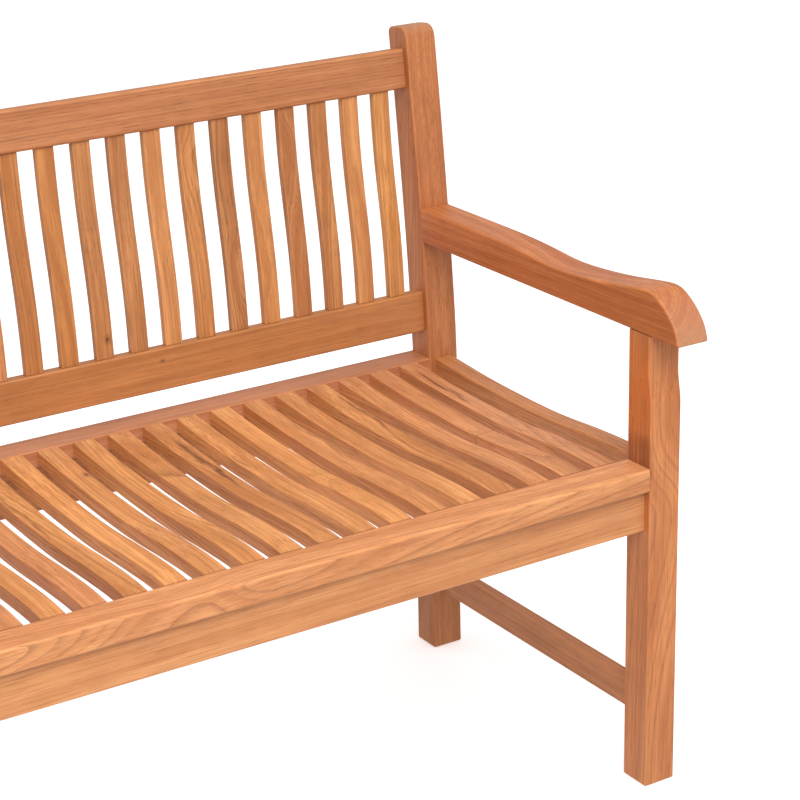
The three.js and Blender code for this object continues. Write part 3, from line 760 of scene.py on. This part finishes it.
def markWood(piece, name, cut, longWay):
    chance = random.Random(name)
    mesh = piece.data
    low = Vector(map(min, zip(*(v.co for v in mesh.vertices))))
    high = Vector(map(max, zip(*(v.co for v in mesh.vertices))))
    centre = (low + high) / 2
    along, across, into = boardAxes(cut, longWay)
    if max(abs(c) for c in across) == -min(across):
        across = -across  # so that it points right or up

    # The log's own axes: leant a little, with the pith off to one side.
    sawn = math.radians(chance.uniform(*cut["sawn"])) * chance.choice((-1, 1))
    pith = chance.uniform(*cut["pith"])
    lean = math.radians(cut["lean"]) * chance.uniform(*boardChance["lean"]) * chance.choice((-1, 1))
    roll = math.radians(cut["lean"]) * chance.uniform(*boardChance["roll"])
    start = chance.uniform(*boardChance["start"])
    tone = chance.uniform(*cut["tone"])
    red = chance.uniform(*cut["red"])
    lines = chance.uniform(*cut["lines"])
    level = chance.uniform(*boardChance["level"])
    marks = {**noMark, **boardMarks.get(name, {})}
    tone, red, lines, level = marks.get("tone", (tone, red, lines, level))
    # Painted light and shade: the kind's shade darkens or lightens the whole board for how the lamps fall
    # on it.
    level *= cut.get("shade", 1.0)

    soft = [True] * len(mesh.vertices)
    for face in mesh.polygons:
        if face.material_index == 0:
            for v in face.vertices:
                soft[v] = False
    pithAcross, pithInto = pith * math.sin(sawn), pith * math.cos(sawn)
    places = []
    logs = []
    for v in mesh.vertices:
        offset = v.co - centre
        place = (offset.dot(along), offset.dot(across), offset.dot(into))
        places.append(place)
        inLog = (place[0] + start, place[1] + pithAcross + place[0] * roll,
                 place[2] + pithInto + place[0] * lean)
        logs.append(inLog)
    count = len(mesh.vertices)
    endFrom = boardChance["endFrom"]
    ends = [max(0.0, abs(face.normal.dot(along)) - endFrom) / (1 - endFrom) for face in mesh.polygons]
    least = boardChance["narrowSide"] if cut["slot"] == "slat_teak" else 1.0
    broad = [least + (1 - least) * abs(face.normal.dot(into)) for face in mesh.polygons]
    wood = (
        ("logPlace", "FLOAT_VECTOR", "POINT", "vector", logs),
        ("boardPlace", "FLOAT_VECTOR", "POINT", "vector", places),
        ("boardTone", "FLOAT_COLOR", "POINT", "color", [(tone, red, lines, level)] * count),
        ("swirlSpot", "FLOAT_COLOR", "POINT", "color", [marks["swirl"]] * count),
        ("knotSpot", "FLOAT_COLOR", "POINT", "color", [(*marks["knot"], 1.0)] * count),
        ("heartSpot", "FLOAT_COLOR", "POINT", "color", [marks["heart"]] * count),
        ("amberSpot", "FLOAT_COLOR", "POINT", "color", [marks["amber"]] * count),
        ("spliceAt", "FLOAT", "POINT", "value", [(marks["splice"],)] * count),
        ("edgeWearAndHighlight", "FLOAT", "POINT", "value", [(float(rounded),) for rounded in soft]),
        ("endGrain", "FLOAT", "FACE", "value", [(end,) for end in ends]),
        ("broadFace", "FLOAT", "FACE", "value", [(share,) for share in broad]),
    )
    for key, kind, domain, field, rows in wood:
        mesh.attributes.new(key, kind, domain)
    for key, kind, domain, field, rows in wood:
        mesh.attributes[key].data.foreach_set(field, [number for row in rows for number in row])
    for face in mesh.polygons:
        face.material_index = 0
        face.use_smooth = True
    mesh.materials.clear()
    mesh.materials.append(teak[cut["slot"]])
    weighted = piece.modifiers.new("flatFaces", "WEIGHTED_NORMAL")
    weighted.keep_sharp = True
    weighted.weight = boardChance["faceWeight"]


# Where neighbours leave off
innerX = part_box("front_leg_right")[0].x
bodyEnd = innerX - fit
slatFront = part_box("front_seat_board")[1].y + fit
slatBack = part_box("rear_seat_rail")[0].y - fit
lowerSection = withoutStraightPoints(sideOutline("lower_back_rail", bodyEnd))
topSection = withoutStraightPoints(sideOutline("top_back_rail", bodyEnd))


# The upper or lower long side of a rail's tipped section: its front point, and the way up from it.
def railFace(section, upper):
    ordered = sorted(section, key=lambda p: p[1], reverse=upper)[:2]
    front, back = sorted(ordered)
    run = (Vector(back) - Vector(front)).normalized()
    normal = Vector((-run.y, run.x))
    return Vector(front), normal


def pieceOutline(node, kind):
    low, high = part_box(node)
    if "X" in pieceCuts[kind]["butt"]:
        return sideOutline(node, bodyEnd), -bodyEnd, bodyEnd
    outer = high.x if high.x + low.x > 0 else low.x
    outline = sideOutline(node, outer)
    if kind == "seat_slat":
        outline = clipped(outline, Vector((slatFront, 0)), Vector((1, 0)))
        outline = clipped(outline, Vector((slatBack, 0)), Vector((-1, 0)))
    if kind == "back_slat":
        foot, up = railFace(lowerSection, True)
        head, away = railFace(topSection, False)
        outline = clipped(outline, foot + up * fit, up)
        outline = clipped(outline, head - away * fit, -away)
    return outline, low.x, high.x


def inBox(outline, node):
    low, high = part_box(node)
    return [(min(max(y, low.y), high.y), min(max(z, low.z), high.z)) for y, z in outline]


built = 0
for node in sorted(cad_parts):
    kind = kindOf(node)
    cut = pieceCuts[kind]
    outline, xLow, xHigh = pieceOutline(node, kind)
    outline = withoutStraightPoints(outline)
    outline = inBox(finerCurve(outline), node)
    longWay = axisOf[cut["grain"]]
    if kind == "back_slat":
        foot = min(outline, key=lambda p: p[1])
        head = max(outline, key=lambda p: p[1])
        longWay = Vector((0, head[0] - foot[0], head[1] - foot[1]))
    piece = roundedBoard("teak_" + node, outline, xLow, xHigh, cut)
    markWood(piece, node, cut, longWay)
    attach(piece, "root")
    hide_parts(node)
    built += 1
print("boards cut and rounded:", built)


# Floor, light and camera
studio = {
    "floorSize": 60.0,
    "underFeet": 0.0005,
    "floorColour": (0.93, 0.93, 0.94),
    "floorRough": 0.9,
    "floorSheen": 0.1,
    "floorGlow": 0.40,
    "skyColour": (0.98, 0.985, 1.0),
    "skyStrength": 0.78,
    "lowSkyStrength": 0.72,
    "skyTurn": (-0.35, 0.25),  # heights between which the one goes over into the other
    "keyPlace": (-0.42, -2.1, 2.87),
    "keySize": 2.6,
    "keyPower": 92.0,
    "keyColour": (1.0, 0.98, 0.95),
    "eye": (-1.114686, -2.339209, 1.518555),
    "heading": 32.248,
    "pitch": -20.326,
    "tilt": 1.339,
    "lens": 105.13,
    "sensor": 36.0,
}

floorMesh = bpy.data.meshes.new("floor")
half = studio["floorSize"] / 2
floorZ = cadLow.z - studio["underFeet"]
corners = [(x * half, y * half, floorZ) for x, y in ((-1, -1), (1, -1), (1, 1), (-1, 1))]
floorMesh.from_pydata(corners, [], [(0, 1, 2, 3)])
floor = bpy.data.objects.new("floor", floorMesh)
bpy.context.scene.collection.objects.link(floor)
floorPaint = bpy.data.materials.new("floorPaint")
floorPaint.use_nodes = True
floorShader = floorPaint.node_tree.nodes["Principled BSDF"]
floorShader.inputs["Base Color"].default_value = (*studio["floorColour"], 1)
floorShader.inputs["Roughness"].default_value = studio["floorRough"]
floorShader.inputs["Specular IOR Level"].default_value = studio["floorSheen"]
floorShader.inputs["Emission Color"].default_value = (1, 1, 1, 1)
floorShader.inputs["Emission Strength"].default_value = studio["floorGlow"]
floorMesh.materials.append(floorPaint)
floor.visible_diffuse = False  # light from below comes from the lower sky

sky = bpy.data.worlds.new("studioSky")
sky.use_nodes = True
backdrop = sky.node_tree.nodes["Background"]
backdrop.inputs[0].default_value = (*studio["skyColour"], 1)
skyPlace = newNode(sky.node_tree, "ShaderNodeTexCoord")
skyHeight = apart(sky.node_tree, skyPlace.outputs["Generated"])[2]
feed(sky.node_tree, backdrop.inputs[1],
     spread(sky.node_tree, skyHeight, *studio["skyTurn"], studio["lowSkyStrength"], studio["skyStrength"]))
bpy.context.scene.world = sky


def softLight(name, place, aim, size, power, colour):
    lamp = bpy.data.lights.new(name, "AREA")
    lamp.shape = "DISK"
    lamp.size = size
    lamp.energy = power
    lamp.color = colour
    holder = bpy.data.objects.new(name, lamp)
    bpy.context.scene.collection.objects.link(holder)
    holder.location = place
    holder.rotation_euler = (aim - Vector(place)).to_track_quat("-Z", "Y").to_euler()


benchMiddle = (cadLow + cadHigh) / 2
softLight("keyLight", Vector(studio["keyPlace"]), benchMiddle, studio["keySize"], studio["keyPower"],
          studio["keyColour"])

heading = math.radians(studio["heading"])
pitch = math.radians(studio["pitch"])
tilt = math.radians(studio["tilt"])
level = math.cos(pitch)
forward = Vector((math.sin(heading) * level, math.cos(heading) * level, math.sin(pitch)))
right = Vector((math.cos(heading), -math.sin(heading), 0))
down = forward.cross(right)
tiltedRight = right * math.cos(tilt) + down * math.sin(tilt)
tiltedDown = down * math.cos(tilt) - right * math.sin(tilt)
cameraData = bpy.data.cameras.new("benchCamera")
cameraData.lens = studio["lens"]
cameraData.sensor_width = studio["sensor"]
camera = bpy.data.objects.new("benchCamera", cameraData)
bpy.context.scene.collection.objects.link(camera)
turn = Matrix((tiltedRight, -tiltedDown, -forward)).transposed().to_4x4()
camera.matrix_world = Matrix.Translation(Vector(studio["eye"])) @ turn
bpy.context.scene.camera = camera
bpy.context.scene.view_settings.view_transform = "Standard"
print("studio set")
